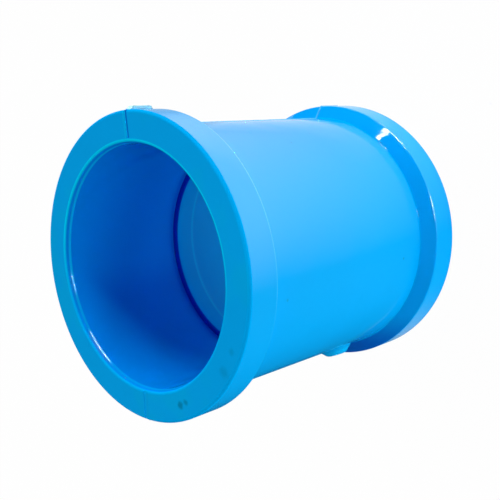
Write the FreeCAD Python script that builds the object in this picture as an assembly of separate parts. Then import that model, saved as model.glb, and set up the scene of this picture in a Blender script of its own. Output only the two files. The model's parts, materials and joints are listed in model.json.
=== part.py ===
"""Moulded PVC pipe coupling: two sockets that meet at a central stop, with a thick collar round each end.

The coupling stands on one end. The axis is Z, the origin is the middle of the lower end, and the mould's
parting plane is XZ. Lengths are in millimetres and angles in degrees.
"""
import FreeCAD
import Part
import math
import os

# Sockets: a pipe slides in with a little play, then the wall narrows and grips it on its way to the stop.
pipe_dia = 60.0
entrance_play = 0.4
bottom_play = 0.04
socket_depth = 38.2
grip_depth = 14.0
lead_in_depth = 1.4
lead_in_rise = 0.6

# Central stop that both pipes butt against.
stop_width = 7.4
stop_height = 1.6
stop_edge_rise = 0.25
stop_edge_run = 1.7

# Walls of the body and of the thick end collars, measured from the socket's entrance.
body_wall = 4.4
collar_wall = 8.1
collar_width = 8.8
shoulder_angle = 53.5
shoulder_root_round = 0.9
shoulder_crest_round = 0.6
end_chamfer = 0.45

# Raised witness line that the two mould halves leave down both sides.
flash_width = 0.6
flash_height = 0.25
flash_root = 1.0

# Grooves that the same parting line leaves across the upper end face: deep under the gate, faint opposite it.
seam_width = 1.45
seam_gate_depth = 0.35
seam_gate_slope = 0.35
seam_gate_land = 0.7
seam_far_depth = 0.12
seam_far_slope = 0.7

# Stub of the gate, cut off roughly, that lies along the parting line on the upper collar.
gate_height = 0.95
gate_width = 1.8
gate_front_ramp = 1.9
gate_back_ramp = 1.2
gate_front_lip = 0.3
gate_root = 1.0

# Low round pad that an ejector left on the body, above the lower collar.
pad_height_up = 21.5
pad_angle = -161.5
pad_rise = 1.9
pad_base_dia = 9.4
pad_top_dia = 5.4
pad_edge_round = 0.8
pad_root = 1.5

# Sizes that follow from the ones above.
length = 2 * socket_depth + stop_width
entrance_radius = (pipe_dia + entrance_play) / 2
bottom_radius = (pipe_dia + bottom_play) / 2
mouth_radius = entrance_radius + lead_in_rise
stop_radius = bottom_radius - stop_height
body_radius = entrance_radius + body_wall
collar_radius = entrance_radius + collar_wall
shoulder_run = (collar_wall - body_wall) / math.tan(math.radians(shoulder_angle))


def corner_arc(before, corner, after, radius):
    """Start, middle and end of the arc that rounds one corner of an outline."""
    to_before = (before - corner).normalize()
    to_after = (after - corner).normalize()
    half_angle = to_before.getAngle(to_after) / 2
    setback = radius / math.tan(half_angle)
    bisector = (to_before + to_after).normalize()
    centre = corner + bisector * (radius / math.sin(half_angle))
    return corner + to_before * setback, centre - bisector * radius, corner + to_after * setback


def rounded_outline(corners):
    """Closed wire in the XZ plane through (r, z, radius) corners, with a tangent arc at each rounded one."""
    places = [FreeCAD.Vector(r, 0, z) for r, z, _ in corners]
    edges = []
    first_point = None
    last_point = None
    for i, (_, _, radius) in enumerate(corners):
        arc = [places[i]]
        if radius > 0:
            arc = list(corner_arc(places[i - 1], places[i], places[(i + 1) % len(places)], radius))
        if last_point is None:
            first_point = arc[0]
        else:
            edges.append(Part.LineSegment(last_point, arc[0]).toShape())
        if len(arc) == 3:
            edges.append(Part.Arc(*arc).toShape())
        last_point = arc[-1]
    edges.append(Part.LineSegment(last_point, first_point).toShape())
    return Part.Wire(edges)


def wall_outline():
    """Section of the wall on one side of the axis: the lower half, and the same half turned over above it."""
    outside = [
        (mouth_radius, 0, 0),
        (collar_radius - end_chamfer, 0, 0),
        (collar_radius, end_chamfer, 0),
        (collar_radius, collar_width, shoulder_crest_round),
        (body_radius, collar_width + shoulder_run, shoulder_root_round),
    ]
    inside = [
        (stop_radius, socket_depth + stop_edge_run, 0),
        (stop_radius + stop_edge_rise, socket_depth, 0),
        (bottom_radius, socket_depth, 0),
        (entrance_radius, socket_depth - grip_depth, 0),
        (entrance_radius, lead_in_depth, 0),
    ]
    outside_above = [(r, length - z, radius) for r, z, radius in reversed(outside)]
    inside_above = [(r, length - z, radius) for r, z, radius in reversed(inside)]
    return rounded_outline(outside + outside_above + inside_above + inside)


def turned_wall():
    """The wall, turned about the axis."""
    return Part.Face(wall_outline()).revolve(FreeCAD.Vector(0, 0, 0), FreeCAD.Vector(0, 0, 1), 360)


def flash_line():
    """The witness line on one side: the wall's section, grown a little and made into a thin slab."""
    grown = Part.Face(wall_outline().makeOffset2D(flash_height))
    grown.translate(FreeCAD.Vector(0, -flash_width / 2, 0))
    slab = grown.extrude(FreeCAD.Vector(0, flash_width, 0))
    outer_side = Part.makeBox(collar_radius, flash_width, length)
    outer_side.translate(FreeCAD.Vector(body_radius - flash_root, -flash_width / 2, 0))
    return slab.common(outer_side)


def seam_groove(depth, slope, start_radius):
    """What the parting line takes out of the upper end face on one side: one upright wall and one sloping one."""
    section = [
        FreeCAD.Vector(start_radius, -seam_width / 2, length + depth),
        FreeCAD.Vector(start_radius, -seam_width / 2, length - depth),
        FreeCAD.Vector(start_radius, seam_width / 2 - slope, length - depth),
        FreeCAD.Vector(start_radius, seam_width / 2 + slope, length + depth),
    ]
    reach = collar_radius + gate_height - start_radius
    return Part.Face(Part.makePolygon(section + section[:1])).extrude(FreeCAD.Vector(reach, 0, 0))


def gate_stub():
    """The gate's stub on the upper collar, with a long ramp at the end face and a short one at the shoulder."""
    top = length - gate_front_lip
    foot = length - collar_width
    crest = collar_radius + gate_height
    side = [
        FreeCAD.Vector(collar_radius - gate_root, -gate_width / 2, top),
        FreeCAD.Vector(collar_radius, -gate_width / 2, top),
        FreeCAD.Vector(crest, -gate_width / 2, top - gate_front_ramp),
        FreeCAD.Vector(crest, -gate_width / 2, foot + gate_back_ramp),
        FreeCAD.Vector(collar_radius, -gate_width / 2, foot),
        FreeCAD.Vector(collar_radius - gate_root, -gate_width / 2, foot),
    ]
    return Part.Face(Part.makePolygon(side + side[:1])).extrude(FreeCAD.Vector(0, gate_width, 0))


def ejector_pad():
    """The round pad on the body: a low cone with a rounded top edge, standing out along its own radius."""
    slope = (pad_base_dia - pad_top_dia) / 2 / pad_rise
    root_radius = pad_base_dia / 2 + slope * pad_root
    start = FreeCAD.Vector(body_radius - pad_root, 0, pad_height_up)
    pad = Part.makeCone(root_radius, pad_top_dia / 2, pad_rise + pad_root, start, FreeCAD.Vector(1, 0, 0))
    farthest = max(pad.Edges, key=lambda edge: edge.BoundBox.XMin)
    pad = pad.makeFillet(pad_edge_round, [farthest])
    pad.rotate(FreeCAD.Vector(0, 0, 0), FreeCAD.Vector(0, 0, 1), pad_angle)
    return pad


def turned_round(shape):
    """A copy of a shape on the far side of the axis."""
    copy = shape.copy()
    copy.rotate(FreeCAD.Vector(0, 0, 0), FreeCAD.Vector(0, 0, 1), 180)
    return copy


def coupling():
    """The whole coupling as one solid."""
    flash = flash_line()
    body = turned_wall().multiFuse([flash, turned_round(flash), gate_stub(), ejector_pad()])
    gate_seam = seam_groove(seam_gate_depth, seam_gate_slope, mouth_radius + seam_gate_land)
    far_seam = seam_groove(seam_far_depth, seam_far_slope, stop_radius)
    return body.cut(gate_seam).cut(turned_round(far_seam)).removeSplitter()


def main():
    os.makedirs("parts", exist_ok=True)
    shape = coupling()
    shape.exportStep("parts/coupling.step")
    box = shape.optimalBoundingBox()
    print("coupling", shape.ShapeType, "solids", len(shape.Solids), "valid", shape.isValid())
    print("size %.2f x %.2f x %.2f mm, volume %.0f mm3" % (box.XLength, box.YLength, box.ZLength, shape.Volume))


main()
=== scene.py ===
# %% [markdown]
# A moulded pipe coupling.
#
# The real object is one piece of blue PVC. It was moulded in two outer halves round a split core, and it
# shows where they met: a raised line down each side, a groove across the end face, the rough stub of the
# gate and the round mark of an ejector. This lesson models that one piece from its section, then gives it a
# glossy plastic finish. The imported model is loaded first, because every size here comes from it or is set
# against it.

# %% Load the frame
import json
import math
import bmesh
import bpy
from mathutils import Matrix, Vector


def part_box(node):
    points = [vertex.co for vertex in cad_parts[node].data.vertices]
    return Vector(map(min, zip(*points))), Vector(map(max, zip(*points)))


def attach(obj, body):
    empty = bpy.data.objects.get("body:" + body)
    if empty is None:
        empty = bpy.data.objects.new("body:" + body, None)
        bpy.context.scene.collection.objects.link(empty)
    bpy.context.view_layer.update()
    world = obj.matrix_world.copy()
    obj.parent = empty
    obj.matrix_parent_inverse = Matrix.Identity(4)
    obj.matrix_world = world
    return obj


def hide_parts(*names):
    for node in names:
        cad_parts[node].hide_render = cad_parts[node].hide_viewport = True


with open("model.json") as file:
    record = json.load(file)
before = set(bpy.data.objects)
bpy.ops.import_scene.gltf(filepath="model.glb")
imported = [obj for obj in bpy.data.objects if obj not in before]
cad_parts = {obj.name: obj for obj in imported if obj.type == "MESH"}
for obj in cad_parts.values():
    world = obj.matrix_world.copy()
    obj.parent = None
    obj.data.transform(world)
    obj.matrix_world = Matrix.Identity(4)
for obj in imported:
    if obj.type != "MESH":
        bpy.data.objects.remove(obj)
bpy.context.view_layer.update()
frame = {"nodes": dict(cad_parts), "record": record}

# %% [markdown]
# Sizes.
#
# Blender works in metres. The overall length, the collar's radius and the radii of the sockets and the stop
# are read from the frame, so the looks can't drift away from the solid. The rest are the wall, the depth of
# the sockets and the small forms that a finger would feel: the lead-in, the taper of the grip, the edges of
# the stop and the shoulder. They are written in millimetres and scaled once.

# %% Read and name the sizes
MM = 0.001
low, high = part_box("coupling")
mounts = {mount["name"]: mount for mount in frame["record"]["mounts"]}
length = high.z - low.z
collar_radius = (high.y - low.y) / 2
socket_radius = mounts["socket_upper"]["dims"]["r_mm"] * MM
stop_radius = min(math.hypot(v.co.x, v.co.y) for v in frame["nodes"]["coupling"].data.vertices)
body_wall = 4.4 * MM
body_radius = socket_radius + body_wall
socket_depth = 38.2 * MM
grip_depth = 14.0 * MM
grip_play = 0.18 * MM
lead_in_depth = 1.4 * MM
lead_in_rise = 0.6 * MM
stop_edge_rise = 0.25 * MM
stop_edge_run = 1.7 * MM
collar_width = 8.8 * MM
shoulder_angle = math.radians(53.5)
shoulder_run = (collar_radius - body_radius) / math.tan(shoulder_angle)
shoulder_foot = collar_width + shoulder_run
print("length %.2f, collar %.2f, body %.2f, socket %.2f, stop %.2f mm" % tuple(
    size / MM for size in (length, collar_radius, body_radius, socket_radius, stop_radius)))

# %% [markdown]
# Helpers for working as by hand.
#
# An operator acts on whatever is selected. So each step first makes one object active with nothing else
# selected, then picks vertices, edges or faces by where they are, and only then calls the operator.

# %% Helpers for selecting and moving
HAIR = 0.001 * MM


def only(piece):
    """Selects one object and no other, and makes it active."""
    if bpy.context.mode != "OBJECT":
        bpy.ops.object.mode_set(mode="OBJECT")
    bpy.ops.object.select_all(action="DESELECT")
    piece.select_set(True)
    bpy.context.view_layer.objects.active = piece


def edit(piece):
    """Enters edit mode on one object with nothing selected."""
    only(piece)
    bpy.ops.object.mode_set(mode="EDIT")
    bpy.ops.mesh.select_mode(type="VERT")
    bpy.ops.mesh.select_all(action="DESELECT")


def done():
    """Leaves edit mode."""
    bpy.ops.object.mode_set(mode="OBJECT")


def pick(kind, test):
    """Selects the vertices, edges or faces being edited that pass a test, and no others. Counts them."""
    bpy.ops.mesh.select_mode(type=kind)
    bpy.ops.mesh.select_all(action="DESELECT")
    mesh = bmesh.from_edit_mesh(bpy.context.edit_object.data)
    count = 0
    for element in {"VERT": mesh.verts, "EDGE": mesh.edges, "FACE": mesh.faces}[kind]:
        if test(element):
            element.select_set(True)
            count += 1
    bmesh.update_edit_mesh(bpy.context.edit_object.data)
    return count


def select_everything():
    """Selects all of the mesh being edited."""
    bpy.ops.mesh.select_all(action="SELECT")


def near(a, b, within=0.02 * MM):
    """True where two sizes agree."""
    return abs(a - b) < within


def middle(element):
    """The middle of an edge or a face."""
    points = [v.co for v in element.verts]
    return sum(points, Vector()) / len(points)


def move(x=0.0, y=0.0, z=0.0):
    """Moves the selection."""
    bpy.ops.transform.translate(value=(x, y, z))


def turn_about_z(degrees, centre=(0, 0, 0)):
    """Turns the selection about an upright axis, counter-clockwise seen from above."""
    bpy.ops.transform.rotate(value=-math.radians(degrees), orient_axis="Z", center_override=centre)


# %% [markdown]
# Half of a section.
#
# A turned shape is its half section, spun round the axis. The section starts as a flat strip as thick as the
# body's wall and as long as the coupling. It is cut across at every height where the form changes, because
# the cuts give the points and edges that are moved next.

# %% Cut the strip
heights = [lead_in_depth, collar_width, shoulder_foot]
heights += [socket_depth - grip_depth, socket_depth, socket_depth + stop_edge_run]
heights += [length - height for height in heights]
bpy.ops.object.select_all(action="DESELECT")
bpy.ops.mesh.primitive_plane_add(size=1, rotation=(math.pi / 2, 0, 0))
coupling = bpy.context.active_object
coupling.name = "moulded_coupling"
coupling.data.name = "moulded_coupling"
coupling.scale = (body_wall, length, 1)
coupling.location = ((body_radius + socket_radius) / 2, 0, length / 2)
bpy.ops.object.transform_apply(location=True, rotation=True, scale=True)
edit(coupling)
for height in heights:
    select_everything()
    bpy.ops.mesh.bisect(plane_co=(0, 0, height), plane_no=(0, 0, 1))
print("strip: cut at", len(heights), "heights")

# %% [markdown]
# Collars, stop, mouths and grips.
#
# The strip is still being edited. Its long edges are pulled out for the collars and in for the stop. Then
# single points are moved: the foot of each shoulder goes back to the wall, the stop gets its steep edges,
# the mouths are flared, and each socket narrows toward the stop, which is what grips a pipe.

# %% Pull out the collars and the stop
collar_step = collar_radius - body_radius


def along(edge, radius):
    """True for an edge that runs up the section at one radius."""
    return all(near(v.co.x, radius) for v in edge.verts)


def at_corner(point, radius, height):
    """True for a point of the section at one radius, at one height from either end."""
    return near(point.co.x, radius) and (near(point.co.z, height) or near(point.co.z, length - height))


for side in (0, 1):
    pick("EDGE", lambda e: along(e, body_radius)
         and abs(middle(e).z - side * length) < shoulder_foot + HAIR)
    bpy.ops.mesh.extrude_edges_move(TRANSFORM_OT_translate={"value": (collar_step, 0, 0)})
    pick("VERT", lambda v: near(v.co.x, collar_radius)
         and near(abs(v.co.z - side * length), shoulder_foot))
    move(x=-collar_step)
pick("EDGE", lambda e: along(e, socket_radius)
     and abs(middle(e).z - length / 2) < length / 2 - socket_depth)
bpy.ops.mesh.extrude_edges_move(TRANSFORM_OT_translate={"value": (stop_radius - socket_radius, 0, 0)})
pick("VERT", lambda v: at_corner(v, stop_radius, socket_depth))
move(x=stop_edge_rise)
pick("VERT", lambda v: at_corner(v, socket_radius, 0.0))
move(x=lead_in_rise)
pick("VERT", lambda v: at_corner(v, socket_radius, socket_depth))
move(x=-grip_play)
select_everything()
bpy.ops.mesh.remove_doubles(threshold=HAIR)
done()
print("section:", len(coupling.data.vertices), "points,", len(coupling.data.polygons), "faces")

# %% [markdown]
# Roundings.
#
# A mould has no truly sharp corners, and the thin highlights along a real edge come from its rounding. The
# strip's faces are joined to one, so that its outline is a single loop, and each corner of it is bevelled by
# what the real corner has: hardly any at the foot of the shoulder and at the stop, more at the rim of the
# end faces.

# %% Round the corners of the outline
foot_setback = 0.12 * MM
crest_setback = 0.3 * MM
end_setback = 0.7 * MM
mouth_setback = 0.4 * MM
lead_in_setback = 0.3 * MM
stop_crest_setback = 0.15 * MM
stop_heel_setback = 0.3 * MM
stop_root_setback = 0.15 * MM
roundings = [
    (body_radius, shoulder_foot, foot_setback, 5),
    (collar_radius, collar_width, crest_setback, 6),
    (collar_radius, 0.0, end_setback, 8),
    (socket_radius + lead_in_rise, 0.0, mouth_setback, 6),
    (socket_radius, lead_in_depth, lead_in_setback, 3),
    (stop_radius + stop_edge_rise, socket_depth, stop_crest_setback, 3),
    (stop_radius, socket_depth + stop_edge_run, stop_heel_setback, 2),
    (socket_radius - grip_play, socket_depth, stop_root_setback, 3),
]


def round_corner(radius, height, setback, segments):
    """Bevels the two corners of the outline at one radius, at one height from either end."""
    count = pick("VERT", lambda v: at_corner(v, radius, height))
    bpy.ops.mesh.bevel(affect="VERTICES", offset=setback, segments=segments, profile=0.5)
    return count


edit(coupling)
select_everything()
bpy.ops.mesh.dissolve_faces()
for rounding in roundings:
    print("rounded", round_corner(*rounding), "corners at r %.2f mm" % (rounding[0] / MM))
done()

# %% [markdown]
# Spinning the section.
#
# Long edges of the outline are divided first, so that the turned wall has rows all along it, and the parting
# line that is pulled out of it later can be uneven. The outline is then spun in steps of one degree. The
# first and last columns lie on each other and are merged, and the normals are made to point out of the
# plastic. The outline is turned by half a step before, so that a whole column straddles the X axis.

# %% Divide the outline and spin it
longest_row = 2.0 * MM
columns = 360
edit(coupling)
select_everything()
bpy.ops.mesh.delete(type="ONLY_FACE")
lengths = [e.calc_length() for e in bmesh.from_edit_mesh(coupling.data).edges]
for size in sorted((size for size in lengths if size > longest_row), reverse=True):
    if pick("EDGE", lambda e: near(e.calc_length(), size, HAIR)):
        bpy.ops.mesh.subdivide(number_cuts=math.ceil(size / longest_row) - 1)
select_everything()
turn_about_z(180 / columns)
bpy.ops.mesh.spin(steps=columns, angle=2 * math.pi, center=(0, 0, 0), axis=(0, 0, 1))
select_everything()
bpy.ops.mesh.remove_doubles(threshold=HAIR)
bpy.ops.mesh.normals_make_consistent(inside=False)
done()
print("turned wall:", len(coupling.data.vertices), "points,", len(coupling.data.polygons), "faces")

# %% [markdown]
# The parting line.
#
# Where the two outer halves of the mould meet, a hair of plastic is squeezed out all the way down the
# outside. The spin left a column of faces just there, on both sides. It is pulled out along its normals and
# its crest is pinched, and a little of its height is made to vary, as a real witness line does.

# %% Pull out the parting line
flash_rise = 0.22 * MM
flash_pinch = 0.35
flash_unevenness = 0.03 * MM
angle_slack = 1e-4
half_column = math.radians(360 / columns / 2) + angle_slack
outside_wall = body_radius - 0.1 * MM


def on_parting_line(face):
    """True for an outside face, clear of the ends, in the columns that straddle the X axis."""
    spot = middle(face)
    return (abs(math.atan2(spot.y, abs(spot.x))) < half_column
            and math.hypot(spot.x, spot.y) > outside_wall
            and end_setback < spot.z < length - end_setback)


edit(coupling)
print("parting line:", pick("FACE", on_parting_line), "faces")
bpy.ops.mesh.extrude_region_shrink_fatten(TRANSFORM_OT_shrink_fatten={"value": flash_rise})
bpy.ops.transform.resize(value=(1, flash_pinch, 1), center_override=(0, 0, 0))
bpy.ops.transform.vertex_random(offset=flash_unevenness, uniform=0.5, normal=0.0, seed=4)
done()

# %% [markdown]
# The gate's stub.
#
# The plastic came in at the upper collar. The gate was cut off roughly and left a low strip, long like the
# collar is wide. It starts as a box, with a ramp at either end, and its crest is roughened point by point.

# %% Model the gate's stub
gate_height = 0.95 * MM
gate_width = 1.8 * MM
gate_root = 1.0 * MM
gate_setback = 0.3 * MM
gate_top = length - gate_setback
gate_foot = length - collar_width
top_ramp = 1.9 * MM
foot_ramp = 1.2 * MM
crest_cuts = 11
crest_sink = 0.1 * MM
crest_roughness = 0.09 * MM


def block(name, size, spot):
    """A box of one size about one spot, with its place in its mesh."""
    bpy.ops.object.select_all(action="DESELECT")
    bpy.ops.mesh.primitive_cube_add(size=1)
    piece = bpy.context.active_object
    piece.name = name
    piece.scale = size
    piece.location = spot
    bpy.ops.object.transform_apply(location=True, rotation=True, scale=True)
    return piece


gate = block("gate_stub", (gate_height + gate_root, gate_width, gate_top - gate_foot),
             (collar_radius + (gate_height - gate_root) / 2, 0, (gate_top + gate_foot) / 2))
crest_x = collar_radius + gate_height
edit(gate)
pick("VERT", lambda v: near(v.co.x, crest_x) and near(v.co.z, gate_top))
move(z=-top_ramp)
pick("VERT", lambda v: near(v.co.x, crest_x) and near(v.co.z, gate_foot))
move(z=foot_ramp)
select_everything()
bpy.ops.mesh.subdivide(number_cuts=crest_cuts)
pick("VERT", lambda v: near(v.co.x, crest_x))
move(x=-crest_sink)
bpy.ops.transform.vertex_random(offset=crest_roughness, uniform=1.0, normal=0.0, seed=11)
done()
highest = max(v.co.x for v in gate.data.vertices)
print("gate stub:", len(gate.data.polygons), "faces, crest at %.2f mm" % (highest / MM))

# %% [markdown]
# The ejector's pad.
#
# A pin pushed the moulding out of the mould and left a low round boss above the lower collar. It is a short
# cone with a softly rounded edge, laid along its own radius. Its root goes on into the wall by the same
# slope, so that no gap is left under it.

# %% Model the pad
pad_rise = 1.9 * MM
pad_root = 1.5 * MM
pad_base_radius = 4.7 * MM
pad_top_radius = 2.7 * MM
pad_height_up = 21.5 * MM
pad_rounding = 0.75 * MM
pad_azimuth = -161.5
pad_slope = (pad_base_radius - pad_top_radius) / pad_rise
bpy.ops.object.select_all(action="DESELECT")
bpy.ops.mesh.primitive_cone_add(
    vertices=72, radius1=pad_base_radius + pad_slope * pad_root, radius2=pad_top_radius,
    depth=pad_rise + pad_root, rotation=(0, math.pi / 2, 0),
    location=(body_radius + (pad_rise - pad_root) / 2, 0, pad_height_up))
pad = bpy.context.active_object
pad.name = "ejector_pad"
bpy.ops.object.transform_apply(location=True, rotation=True, scale=True)
edit(pad)
pick("EDGE", lambda e: along(e, body_radius + pad_rise))
bpy.ops.mesh.bevel(affect="EDGES", offset=pad_rounding, segments=6, profile=0.5)
select_everything()
turn_about_z(pad_azimuth)
done()
pad_spot = sum((v.co for v in pad.data.vertices), Vector()) / len(pad.data.vertices)
print("pad at azimuth %.1f degrees" % math.degrees(math.atan2(pad_spot.y, pad_spot.x)))

# %% [markdown]
# Cutters for the groove across the end face.
#
# On the end face the parting line is a groove: one upright wall, one sloping wall. Under the gate it is deep
# and stops short of the mouth. On the far side of the ring it is only a shallow crease. Each cutter is a box
# that stands half out of the face, and one of its sides is slanted by moving its corners.

# %% Model the cutters
cutter_width = 1.45 * MM
past_rim = 1.2 * MM
deep_groove = 0.35 * MM
deep_slope = 0.35 * MM
faint_groove = 0.12 * MM
faint_slope = 0.7 * MM
short_of_mouth = 0.7 * MM
groove_drift = 4.0


def groove_cutter(name, depth, slope, start, turn, drift):
    """A long box along a radius, with one side sloping, turned a little about its outer end."""
    reach = collar_radius + past_rim - start
    cutter = block(name, (reach, cutter_width, 2 * depth), (start + reach / 2, 0, length))
    edit(cutter)
    pick("VERT", lambda v: v.co.y > 0 and v.co.z < length)
    move(y=-slope)
    pick("VERT", lambda v: v.co.y > 0 and v.co.z > length)
    move(y=slope)
    select_everything()
    turn_about_z(drift, (collar_radius, 0, length))
    turn_about_z(turn)
    done()
    return cutter


deep_cutter = groove_cutter("deep_groove_cutter", deep_groove, deep_slope,
                            socket_radius + lead_in_rise + short_of_mouth, 0.0, groove_drift)
faint_cutter = groove_cutter("faint_groove_cutter", faint_groove, faint_slope, stop_radius, 180.0, 0.0)
print("cutters:", deep_cutter.name, "and", faint_cutter.name)

# %% [markdown]
# Joining it all into one piece.
#
# The stub and the pad are one piece with the wall in the real moulding, and the grooves are part of its
# surface. So they are joined and cut with the exact boolean, one after the other, and the helpers are taken
# away.

# %% Join and cut


def combine(piece, other, operation):
    """Applies one boolean and removes the object it used."""
    only(piece)
    modifier = piece.modifiers.new(operation.lower(), "BOOLEAN")
    modifier.object = other
    modifier.operation = operation
    modifier.solver = "EXACT"
    bpy.ops.object.modifier_apply(modifier=modifier.name)
    only(other)
    bpy.ops.object.delete()


combine(coupling, gate, "UNION")
combine(coupling, pad, "UNION")
combine(coupling, deep_cutter, "DIFFERENCE")
combine(coupling, faint_cutter, "DIFFERENCE")
checked = bmesh.new()
checked.from_mesh(coupling.data)
open_edges = sum(1 for e in checked.edges if len(e.link_faces) != 2)
checked.free()
print("joined:", len(coupling.data.polygons), "faces,", open_edges, "edges that are not shared by two faces")

# %% [markdown]
# Smooth shading.
#
# The turned and rounded surfaces are shaded smooth. Where two faces meet at more than a given angle the edge
# stays crisp, as at the groove and the rough stub. The normals are then weighted by the size of the faces:
# the flats stay flat right up to the narrow roundings, which alone catch the light.

# %% Shade
crisp_angle = math.radians(32)
only(coupling)
bpy.ops.object.shade_smooth_by_angle(angle=crisp_angle)
bpy.ops.object.modifier_add(type="WEIGHTED_NORMAL")
coupling.modifiers[-1].keep_sharp = True
bpy.ops.object.modifier_apply(modifier=coupling.modifiers[-1].name)
print("sharp edges:", sum(1 for e in coupling.data.edges if e.use_edge_sharp))

# %% [markdown]
# Writing shader maths as plain expressions.
#
# A glossy moulding still differs from place to place. To say where, the shader needs sums of the radius, the
# height and the direction. A small class wraps a socket, so that ordinary Python operators add the nodes.

# %% A class for shader maths


def plug(tree, slot, value):
    """Links a value or an output to an input, or sets a constant on it."""
    if isinstance(value, Value):
        tree.links.new(value.socket, slot)
    elif hasattr(value, "is_output"):
        tree.links.new(value, slot)
    else:
        slot.default_value = value


class Value:
    """One number in a node tree. Sums, products and powers of values make the nodes."""

    def __init__(self, tree, socket):
        self.tree = tree
        self.socket = socket

    def math(self, operation, *others):
        node = self.tree.nodes.new("ShaderNodeMath")
        node.operation = operation
        for slot, value in zip(node.inputs, (self,) + others):
            plug(self.tree, slot, value)
        return Value(self.tree, node.outputs[0])

    def __add__(self, other):
        return self.math("ADD", other)

    __radd__ = __add__

    def __mul__(self, other):
        return self.math("MULTIPLY", other)

    __rmul__ = __mul__

    def __sub__(self, other):
        return self.math("SUBTRACT", other)

    def __rsub__(self, other):
        return (self * -1) + other

    def __pow__(self, other):
        return self.math("POWER", other)

    def __abs__(self):
        return self.math("ABSOLUTE")

    def ramp(self, start, end):
        """0 before the start, 1 after the end, smooth between. The start may be the larger one."""
        node = self.tree.nodes.new("ShaderNodeMapRange")
        node.interpolation_type = "SMOOTHSTEP"
        plug(self.tree, node.inputs["Value"], self)
        flip = end < start
        node.inputs["From Min"].default_value = min(start, end)
        node.inputs["From Max"].default_value = max(start, end)
        node.inputs["To Min"].default_value = 1.0 if flip else 0.0
        node.inputs["To Max"].default_value = 0.0 if flip else 1.0
        return Value(self.tree, node.outputs["Result"])

    def band(self, centre, half, soft):
        """1 within half of the centre, falling to 0 over the soft distance outside."""
        return abs(self - centre).ramp(half + soft, half)


# %% [markdown]
# A sheet of nodes.
#
# Every other kind of node comes from one method, which takes the node's type, its settings and what goes
# into its sockets. The settings come first, because they decide which sockets the node has.

# %% A class for the other nodes


class Sheet:
    """The node tree of a material or of the world."""

    def __init__(self, owner):
        owner.use_nodes = True
        self.tree = owner.node_tree
        self.tree.nodes.clear()

    def node(self, kind, settings=None, inputs=None):
        """Makes any node."""
        node = self.tree.nodes.new(kind)
        for name, value in (settings or {}).items():
            setattr(node, name, value)
        for name, value in (inputs or {}).items():
            plug(self.tree, node.inputs[name], value)
        return node

    def value(self, socket):
        """Wraps a number's output."""
        return Value(self.tree, socket)

    def mix(self, factor, first, second):
        """Mixes two colours. Each is another node's output, or its red, green and blue."""
        colours = [(*c, 1.0) if isinstance(c, tuple) else c for c in (first, second)]
        node = self.node("ShaderNodeMix", {"data_type": "RGBA"}, {0: factor, 6: colours[0], 7: colours[1]})
        return node.outputs[2]


# %% [markdown]
# The plastic's patterns.
#
# The material starts with the object's own coordinates, in millimetres, so the finish stays on its form
# whatever the view. A few smooth noises come from them: clouds and mottle for the colour, orange peel, a
# slow waviness and the turned rings for the relief.

# %% Start the material
plastic = bpy.data.materials.new("blue_pvc")
sheet = Sheet(plastic)
place = sheet.node("ShaderNodeTexCoord").outputs["Object"]
in_mm = sheet.node("ShaderNodeVectorMath", {"operation": "SCALE"}, {0: place, "Scale": 1 / MM}).outputs[0]
parts = sheet.node("ShaderNodeSeparateXYZ", inputs={0: in_mm}).outputs
x, y, z = (sheet.value(parts[axis]) for axis in "XYZ")
radius = (x * x + y * y) ** 0.5


def noise(scale, detail=2.0, roughness=0.5, stretch=(1, 1, 1), offset=(0, 0, 0)):
    """Smooth noise about zero, with its scale in bumps per millimetre."""
    moved = sheet.node("ShaderNodeMapping", inputs={
        "Vector": in_mm, "Scale": stretch, "Location": offset}).outputs[0]
    made = sheet.node("ShaderNodeTexNoise", inputs={
        "Vector": moved, "Scale": scale, "Detail": detail, "Roughness": roughness})
    return sheet.value(made.outputs["Fac"]) - 0.5


clouds = noise(0.05, 3.0, 0.6)
mottle = noise(0.9, 2.0, 0.5, offset=(7, 3, 1))
peel = noise(1.6, 1.0, 0.4)
waves = noise(0.09, 1.0, 0.4, offset=(2, 9, 4))
rings = noise(1.0, 0.6, 0.4, stretch=(0.3, 0.3, 1.3), offset=(5, 5, 5))
print("patterns:", len(sheet.tree.nodes), "nodes")

# %% [markdown]
# Places inside the coupling.
#
# The finish differs from place to place: in the upper socket, on the stop and beyond it, at the mouth. Each
# place is told by its radius, its height and its place across, in millimetres, mostly beside a size that is
# already named. A band is written as its middle, its half width and the width of its soft edge. Most of
# these places carry painted light and shade. The socket and the stop's near face are painted as shade, and
# the bore beyond the stop as light. Lines round the mouth, along the lead-in and along the stop's far edge
# are painted highlights. The light comes in over the rim, so the side of the socket away from the gate is
# painted as shade below a slanted border.

# %% Name the places inside
top_mm = length / MM
lead_mm = top_mm - lead_in_depth / MM
stop_mm = top_mm - socket_depth / MM
mouth_mm = (socket_radius + lead_in_rise) / MM
socket_mm = socket_radius / MM
stop_rim_mm = stop_radius / MM
shade_slant = 0.75
shade_border = (85.0, 78.0)
on_end = z.ramp(top_mm - 0.25, top_mm - 0.05)
inside = radius.ramp(mouth_mm + 0.1, mouth_mm - 0.05)
# Painted highlight: a line round the mouth's rounding.
mouth_painted_highlight = radius.band(mouth_mm + 0.25, 0.25, 0.15) * z.ramp(top_mm - 0.5, top_mm - 0.2)
mouth_lip = inside * z.ramp(lead_mm - 0.8, lead_mm - 0.5)
# Painted highlight: a line along the lead-in's inner edge.
lead_painted_highlight = z.band(lead_mm + 0.1, 0.15, 0.3) * inside
# Painted shade: the upper socket is painted a deeper blue.
socket_painted_shade = inside * z.ramp(top_mm - 0.25, top_mm - 0.5) * z.ramp(stop_mm - 1.2, stop_mm + 0.4)
# Painted shade: the side of the socket away from the gate, below a slanted border.
socket_side_painted_shade = socket_painted_shade * (z - x * shade_slant).ramp(*shade_border) * x.ramp(-2.0, -14.0)
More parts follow.
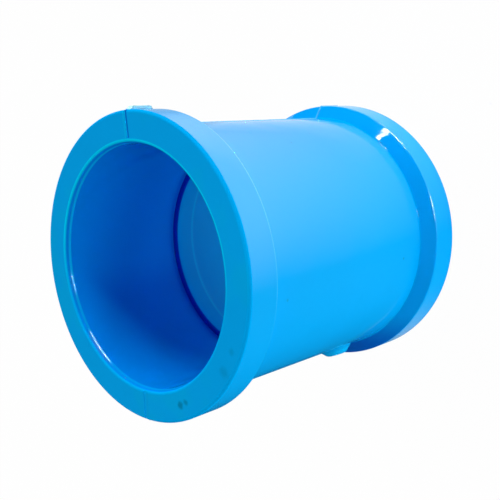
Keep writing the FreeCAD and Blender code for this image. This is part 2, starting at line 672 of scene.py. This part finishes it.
# Painted light: the bore beyond the stop, lit from the far opening.
beyond_stop_painted_light = inside * z.ramp(stop_mm - 0.2, stop_mm - 1.2)
# Painted shade: the stop's near face, dark toward its root.
stop_face_painted_shade = z.ramp(stop_mm + 0.2, stop_mm + 0.05) * z.ramp(stop_mm - 0.75, stop_mm - 0.15)
stop_face_painted_shade = stop_face_painted_shade * radius.ramp(socket_mm + 0.2, socket_mm)
# Painted highlight: a line along the stop's far edge.
stop_edge_painted_highlight = z.band(socket_depth / MM + 1.2, 0.2, 0.4) * radius.ramp(stop_rim_mm + 0.5, stop_rim_mm + 0.3)
print("places inside:", len(sheet.tree.nodes), "nodes")

# %% [markdown]
# Places outside.
#
# The same is done for the lower shoulder, whose bluer tone is painted bounce light, and its end away from
# the gate, which is painted shade. Next come the back edge of the upper collar, which carries a painted
# highlight, the pad, the stub and the witness line. Last come the two sides of the groove: painted light on
# its slope and painted shadow on its floor.

# %% Name the places outside
back_mm = top_mm - collar_width / MM
body_mm = body_radius / MM
collar_mm = collar_radius / MM
stub_mm = gate_width / 2 / MM
on_shoulder = z.band((collar_width + shoulder_run / 2) / MM, 1.3, 0.25)
on_shoulder = on_shoulder * radius.ramp(body_mm + 0.1, body_mm + 0.4)
# Painted shade: the lower shoulder's end away from the gate.
shoulder_painted_shade = on_shoulder * x.ramp(-22.0, -34.5)
# Painted highlight: a line along the upper collar's back edge.
back_crest_painted_highlight = z.band(back_mm + 0.15, 0.12, 0.12) * radius.ramp(collar_mm - 0.4, collar_mm - 0.2)
on_pad = radius.ramp(body_mm + 0.3, body_mm + 0.9) * z.band(pad_height_up / MM, 5.5, 0.5)
on_stub = radius.ramp(collar_mm + 0.03, collar_mm + 0.2) * z.ramp(back_mm - 0.5, back_mm - 0.1)
on_stub = on_stub * x.ramp(0.0, 10.0) * abs(y).ramp(stub_mm + 0.5, stub_mm + 0.2)
on_flash = abs(y).ramp(0.36, 0.26) * z.band(top_mm / 2, top_mm / 2 - 1.2, 0.3)
on_flash = on_flash * radius.ramp(body_mm, body_mm + 0.1)
across_groove = y - (x - collar_mm) * math.tan(math.radians(groove_drift))
by_groove = x.ramp(mouth_mm + 0.5, mouth_mm + 0.9) * z.ramp(top_mm - 0.6, top_mm - 0.4)
# Painted light on the groove's sloping wall and painted shadow on its floor.
groove_painted_light = across_groove.band(0.58, 0.22, 0.12) * by_groove
groove_painted_shadow = across_groove.band(-0.2, 0.4, 0.15) * by_groove * z.ramp(top_mm - 0.05, top_mm - 0.15)
print("places outside:", len(sheet.tree.nodes), "nodes")

# %% [markdown]
# Rubbed edges.
#
# Handling has taken the gloss off the rim and the mouth of the upper end and off the foot of both
# shoulders. A few short stretches of the foot have kept it.

# %% Name the rubbed edges
foot_mm = shoulder_foot / MM
still_glossy = [y.band(-23.6, 1.3, 0.4), x.band(6.7, 0.9, 0.4)]
worn_mouth = z.ramp(top_mm - 0.6, top_mm - 0.45) * radius.ramp(mouth_mm + 0.65, mouth_mm + 0.5)
worn_rim = radius.ramp(collar_mm - 0.9, collar_mm - 0.7) * z.ramp(top_mm - 0.9, top_mm - 0.7)
worn_foot = abs(z - top_mm / 2).band(top_mm / 2 - foot_mm, 0.25, 0.15) * radius.band(body_mm, 0.5, 0.2)
for stretch in still_glossy:
    worn_foot = worn_foot * (1.0 - stretch)
worn = worn_mouth.math("MAXIMUM", worn_rim).math("MAXIMUM", worn_foot)
print("rubbed edges:", len(sheet.tree.nodes), "nodes")

# %% [markdown]
# Colour.
#
# Rigid PVC of this kind is a strong clear blue with hardly any red in it. Cloudy flow marks lie in it, a
# little greener on the end face. The upper socket is painted a deeper blue, a painted shade for the light
# that has bounced about in it, and it is deeper still on its shaded side. The stop's near face is painted
# dark as shade. Beyond the stop the bore is painted paler as painted light. The lower shoulder is painted a
# bluer blue for light bounced onto it. Its end away from the gate, which little light reaches, is painted
# dark as shade.
# The pad is paler than the wall round it. Painted highlights run round the mouth, along the lead-in, along
# the stop's far edge and along the collar's back edge, and they grow brighter toward the gate. The groove
# gets painted light on its slope and painted shadow on its floor. Corners that flex in the mould or rub
# against
# things are paler: the witness line and above all the torn gate.

# %% Mix the blue
darker_blue = (0.0, 0.385, 0.88)
lighter_blue = (0.0, 0.415, 0.94)
tones = [
    (on_end * clouds.ramp(0.0, 0.15) * 0.8, (0.0, 0.42, 0.86)),
    # Painted shade: the socket's deeper blue.
    (socket_painted_shade, (0.0, 0.29, 0.88)),
    # Painted shade, deeper, on the socket's side away from the gate.
    (socket_side_painted_shade * 0.6, (0.0, 0.17, 0.76)),
    # Painted light: the paler bore beyond the stop.
    (beyond_stop_painted_light, (0.0, 0.465, 0.84)),
    # Painted highlight along the lead-in's inner edge, brighter toward the gate.
    (lead_painted_highlight * 0.75, (0.0, 0.41, 0.93)),
    (lead_painted_highlight * x.ramp(-22.0, -2.0) * 0.75, (0.0, 0.60, 1.0)),
    # Painted highlight round the mouth, brighter toward the gate.
    (mouth_painted_highlight, (0.0, 0.41, 0.90)),
    (mouth_painted_highlight * x.ramp(-15.0, 12.0), (0.0, 0.64, 1.0)),
    # Painted shade on the stop's near face.
    (stop_face_painted_shade, (0.0, 0.02, 0.5)),
    # Painted highlight along the stop's far edge.
    (stop_edge_painted_highlight * 0.8, (0.0, 0.62, 0.91)),
    # Painted bounce light: the lower shoulder is painted a more saturated blue.
    (on_shoulder, (0.0, 0.385, 0.98)),
    # Painted shade on the lower shoulder's end away from the gate.
    (shoulder_painted_shade, (0.0, 0.145, 0.67)),
    # Painted highlight along the collar's back edge, brighter toward the gate.
    (back_crest_painted_highlight * x.ramp(-20.0, 32.0), (0.10, 0.62, 0.98)),
    (on_pad, (0.0, 0.48, 1.0)),
    (on_flash * 0.6, (0.15, 0.65, 1.0)),
    # Painted light on the groove's slope, then painted shadow on its floor.
    (groove_painted_light * 0.8, (0.0, 0.56, 1.0)),
    (groove_painted_shadow * 0.85, (0.0, 0.14, 0.62)),
    (on_stub * (1.0 + mottle * 0.6), (0.55, 1.0, 1.0)),
]
tone = sheet.mix(clouds * 0.5 + mottle * 0.25 + 0.5, darker_blue, lighter_blue)
for factor, colour in tones:
    tone = sheet.mix(factor, tone, colour)
print("tones:", len(tones))

# %% [markdown]
# Smudges and specks.
#
# A few small marks of dirt are where the real one has them. Each has a place on the object, a size in
# millimetres and a strength. The smudges on the end face are wide, the specks on the body small, and the
# mottle makes their edges ragged.

# %% Add the small marks
dirt = (0.0, 0.15, 0.26)
grime = [
    ((-31.9, -13.1, top_mm), 1.4, 0.6),
    ((-30.8, -15.0, top_mm), 1.1, 0.5),
    ((-21.3, -28.8, top_mm), 1.9, 0.22),
    ((-16.3, -31.5, top_mm), 1.2, 0.25),
    ((-7.7, -33.7, 67.1), 0.6, 0.4),
    ((28.0, -20.3, 47.1), 0.6, 0.3),
    ((-5.0, -34.2, 19.5), 0.6, 0.4),
    ((30.1, -17.1, 35.8), 0.5, 0.3),
]


def spot_at(place_mm, size):
    """1 at a place, fading to 0 at a distance from it, with a slightly ragged edge."""
    apart = sheet.node("ShaderNodeVectorMath", {"operation": "DISTANCE"}, {0: in_mm, 1: place_mm})
    return (sheet.value(apart.outputs["Value"]) + mottle * size * 0.8).ramp(size, size * 0.2)


for place_mm, size, amount in grime:
    tone = sheet.mix(spot_at(place_mm, size) * amount, tone, dirt)
print("small marks:", len(grime))

# %% [markdown]
# Gloss and relief.
#
# The gloss comes from the polished mould, and it is clearest on the lower shoulder and on the lip inside the
# mouth. What breaks it up is small: a faint orange peel, a slow waviness from shrinking, and on that
# shoulder the fine rings that the turning tool left in the mould. They are what tears the highlight there
# into streaks. The stub is torn and therefore dull. At the rubbed edges the glossy skin gives way to a
# rubbed one without a highlight. The heights of the relief are in millimetres.

# %% Finish the plastic
rubbed_roughness = 0.6
gloss = 0.1 + mottle * 0.04 + on_stub * 0.4 - on_shoulder * 0.05 - mouth_lip * 0.06
relief = peel * 0.004 + waves * 0.25 + rings * on_shoulder * 0.03
bump = sheet.node("ShaderNodeBump", inputs={"Strength": 1.0, "Distance": MM, "Height": relief}).outputs[0]


def skin(roughness, specular):
    """The blue plastic with one gloss."""
    return sheet.node("ShaderNodeBsdfPrincipled", inputs={
        "Base Color": tone, "Roughness": roughness, "Normal": bump, "IOR": 1.5,
        "Specular IOR Level": specular}).outputs[0]


glossy_skin = skin(gloss, 0.5)
rubbed_skin = skin(rubbed_roughness, 0.0)
finish = sheet.node("ShaderNodeMixShader", inputs={0: worn, 1: glossy_skin, 2: rubbed_skin}).outputs[0]
sheet.node("ShaderNodeOutputMaterial", inputs={"Surface": finish})
coupling.data.materials.clear()
coupling.data.materials.append(plastic)
print("plastic:", len(sheet.tree.nodes), "nodes")

# %% [markdown]
# The floor.
#
# The photograph is a cut-out on white, so the camera sees a white floor with only a breath of the shadow.
# The real floor was a pale sheet in uneven light, and its glow models the blue. So the floor is made of
# three parts: how it looks, how it lights the matt part of the plastic and how it shows in the gloss. They
# are told apart by the kind of ray that meets the floor. X counts as east and Y as north.

# %% Make the floor and find places on it
floor_radius = 1.5
ring_edge = (0.0365, 0.0385)
bpy.ops.object.select_all(action="DESELECT")
bpy.ops.mesh.primitive_circle_add(vertices=96, radius=floor_radius, fill_type="NGON")
floor = bpy.context.active_object
floor.name = "floor"
floor_material = bpy.data.materials.new("white_floor")
floor_material.cycles.emission_sampling = "NONE"
ground = Sheet(floor_material)
rays = ground.node("ShaderNodeLightPath").outputs
to_camera, to_glossy, to_glass, to_matt = (
    ground.value(rays["Is %s Ray" % kind]) for kind in ("Camera", "Glossy", "Transmission", "Diffuse"))
spot = ground.node("ShaderNodeSeparateXYZ", inputs={0: ground.node("ShaderNodeTexCoord").outputs["Object"]})
east, north = ground.value(spot.outputs["X"]), ground.value(spot.outputs["Y"])
distance = (east * east + north * north) ** 0.5
outside_ring = distance.ramp(*ring_edge)


def pool(reach_out, azimuth, reach, strength):
    """A round pool of glow on the floor that fades with the distance from its middle."""
    angle = math.radians(azimuth)
    across = east - reach_out * math.cos(angle)
    along_it = north - reach_out * math.sin(angle)
    return ((across * across + along_it * along_it) * (-1 / reach ** 2)).math("EXPONENT") * strength


print("floor: %.1f m in radius" % floor_radius)

# %% [markdown]
# The floor's glow and sheen.
#
# A few soft pools round the ring light the matt part of the plastic, with a dim disc inside the ring for the
# far socket. A pool is given by how far out it is, its azimuth, its reach and its strength. In reflections
# the floor is dark away from the gate and grows brighter toward its side, which is the long soft sheen down
# the body. A flatter sheen fills the east, dimmer to the north, and a small glimmer lies to the south-west,
# close to the ring.

# %% Light the floor
pools = [
    (0.055, -30, 0.03, 1.15),
    (0.055, 240, 0.03, 0.98),
    (0.12, 240, 0.06, 0.81),
    (0.12, 285, 0.06, 1.19),
    (0.35, 240, 0.20, 2.14),
]
disc = distance.ramp(0.0295, 0.027)
disc_glow = 0.79
matt_glow = sum(pool(*numbers) for numbers in pools) * outside_ring + disc * disc_glow

sheen_way = (0.871, -0.492)
sheen_start = 0.0205
sheen_slope = 25.8
sheen_top = 2.05
sheen_strength = 0.92
out_there = east * sheen_way[0] + north * sheen_way[1]
sheen = ((out_there - sheen_start) * sheen_slope).math("MAXIMUM", 0.0).math("MINIMUM", sheen_top)
flat_sheen = east.ramp(0.024, 0.040) * (0.8 - north.ramp(0.046, 0.062) * 0.35)
glimmer = pool(0.039, -143, 0.012, 0.38) * distance.ramp(0.044, 0.041)
sheen = (sheen.math("MAXIMUM", flat_sheen) + glimmer) * outside_ring * sheen_strength
print("pools:", len(pools))

# %% [markdown]
# Putting the floor together.
#
# To the camera and in the gloss the floor is almost all glow, with a trace of a matt surface that takes the
# shadow. To the matt part of the plastic it is a pale matt sheet that also glows. A faint blue glow is added
# in the gloss all over the floor, a painted reflection of the blue light that the coupling throws round it.

# %% Finish the floor
whiteness = 0.985
pale = (0.7, 0.7, 0.7, 1.0)
# Painted reflection: the faint blue of the coupling's bounced light, shown by the floor in the gloss.
faint_blue = (0.0, 0.12, 0.27, 1.0)
strength = to_camera + to_glass + to_glossy * sheen + to_matt * matt_glow
matte = ground.node("ShaderNodeBsdfDiffuse", inputs={"Color": pale}).outputs[0]
glow = ground.node("ShaderNodeEmission", inputs={"Strength": strength}).outputs[0]
blue_glow = ground.node("ShaderNodeEmission", inputs={"Color": faint_blue, "Strength": to_glossy}).outputs[0]
glow = ground.node("ShaderNodeAddShader", inputs={0: glow, 1: blue_glow}).outputs[0]
lit = ground.node("ShaderNodeAddShader", inputs={0: matte, 1: glow}).outputs[0]
white = ground.node("ShaderNodeMixShader", inputs={0: whiteness, 1: matte, 2: glow}).outputs[0]
seen = (to_camera + to_glass + to_glossy).math("MINIMUM", 1.0)
surface = ground.node("ShaderNodeMixShader", inputs={0: seen, 1: lit, 2: white}).outputs[0]
ground.node("ShaderNodeOutputMaterial", inputs={"Surface": surface})
floor.data.materials.append(floor_material)
print("floor:", len(ground.tree.nodes), "nodes")

# %% [markdown]
# Light.
#
# More than half of the light is low and soft, from the east, the side of the gate, and from the south-west.
# The rest comes from higher up, most of it from the north-east. A smaller lamp in the direction of a window
# draws the edge of light inside the upper socket. All of them light the matt part alone, because the
# photograph shows no wide highlight from them.

# %% Light the scene
lamp_distance = 0.5
lamps = [
    ("low_east", 0, 6, 26, 1.82),
    ("low_south_east", -30, 8, 30, 0.23),
    ("low_south_west", 240, 8, 30, 1.17),
    ("high_north_east", 60, 50, 30, 1.38),
    ("high_south_west", 240, 50, 30, 0.31),
    ("top_north_west", 150, 80, 30, 0.27),
    ("top_south_east", -30, 80, 30, 0.27),
    ("window", -9, 17, 8, 0.42),
]


def sun(name, azimuth, elevation, spread, energy):
    """A distant lamp from one direction, seen as a disc as wide as its spread."""
    around, up = math.radians(azimuth), math.radians(elevation)
    toward = Vector((math.cos(around) * math.cos(up), math.sin(around) * math.cos(up), math.sin(up)))
    data = bpy.data.lights.new(name, "SUN")
    data.energy = energy
    data.angle = math.radians(spread)
    light = bpy.data.objects.new(name, data)
    bpy.context.scene.collection.objects.link(light)
    light.location = toward * lamp_distance
    light.rotation_euler = toward.to_track_quat("Z", "Y").to_euler()
    light.visible_glossy = False


for lamp in lamps:
    sun(*lamp)
print("lamps:", len(lamps))

# %% [markdown]
# Camera.
#
# The camera is as far off and as long as the photograph's perspective asks for, rolled so that the
# coupling's axis runs across the picture. Its place and turn were worked out from the outlines of both end
# rings, the stop and the body.

# %% Place the camera
lens_mm = 56.41
sensor_mm = 36.0
camera_shift = (0.0394, -0.04)
camera_spot = (0.028753, -0.150815, 0.199652)
camera_turn = (-9.8021, 44.8773, -94.9503)
camera_data = bpy.data.cameras.new("camera")
camera = bpy.data.objects.new("camera", camera_data)
bpy.context.scene.collection.objects.link(camera)
camera_data.lens = lens_mm
camera_data.sensor_width = sensor_mm
camera_data.shift_x, camera_data.shift_y = camera_shift
camera.location = camera_spot
camera.rotation_euler = tuple(math.radians(a) for a in camera_turn)
bpy.context.scene.camera = camera
print("camera at", tuple(round(v, 4) for v in camera.location), "lens %.2f mm" % camera_data.lens)

# %% [markdown]
# Surroundings.
#
# Beyond the floor the world is white to look at and gives no light. In the gloss it is almost dark, apart
# from the panes of two windows, a slanted sliver above the first and a low slit under each. They are what
# sparkles on the shoulder, along its edges and at the mouth. A pane is told by its bearing and its rise
# above the floor, in degrees, so it stays where it is in every view.

# %% Paint the surroundings
dark_air = 0.02
world = bpy.data.worlds.new("world")
bpy.context.scene.world = world
world.cycles.sampling_method = "NONE"
air = Sheet(world)
toward = air.node("ShaderNodeTexCoord").outputs["Generated"]
toward = air.node("ShaderNodeSeparateXYZ", inputs={0: toward}).outputs
degree = 180 / math.pi
bearing = air.value(toward["Y"]).math("ARCTAN2", air.value(toward["X"])) * degree
rise = air.value(toward["Z"]).math("ARCSINE") * degree


def pane(across, upward, brightness, lean=0.0):
    """A bright pane with soft edges: its bands of bearing and rise, and how far it leans as it rises."""
    return (bearing - rise * lean).band(*across) * rise.band(*upward) * brightness


panes = [
    pane((-17.0, 13.5, 0.8), (22.0, 7.0, 0.5), 32.0),
    pane((-28.8, 1.8, 0.4), (35.2, 1.9, 0.4), 28.0, lean=0.7),
    pane((-74.0, 10.0, 4.0), (27.0, 5.0, 1.0), 32.0),
    pane((-14.0, 15.0, 2.0), (2.3, 0.9, 0.3), 150.0),
    pane((-76.5, 5.5, 2.0), (2.3, 0.9, 0.3), 150.0),
]
air_rays = air.node("ShaderNodeLightPath").outputs
shown = air.value(air_rays["Is Camera Ray"]) + air.value(air_rays["Is Transmission Ray"])
shown = shown + air.value(air_rays["Is Glossy Ray"]) * (sum(panes) + dark_air)
sky = air.node("ShaderNodeBackground", inputs={"Color": (1.0, 1.0, 1.0, 1.0), "Strength": shown}).outputs[0]
air.node("ShaderNodeOutputWorld", inputs={"Surface": sky})
bpy.context.scene.view_settings.view_transform = "Standard"
print("surroundings:", len(panes), "panes")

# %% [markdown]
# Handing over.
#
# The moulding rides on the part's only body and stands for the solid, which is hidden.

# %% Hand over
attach(coupling, "root")
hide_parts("coupling")
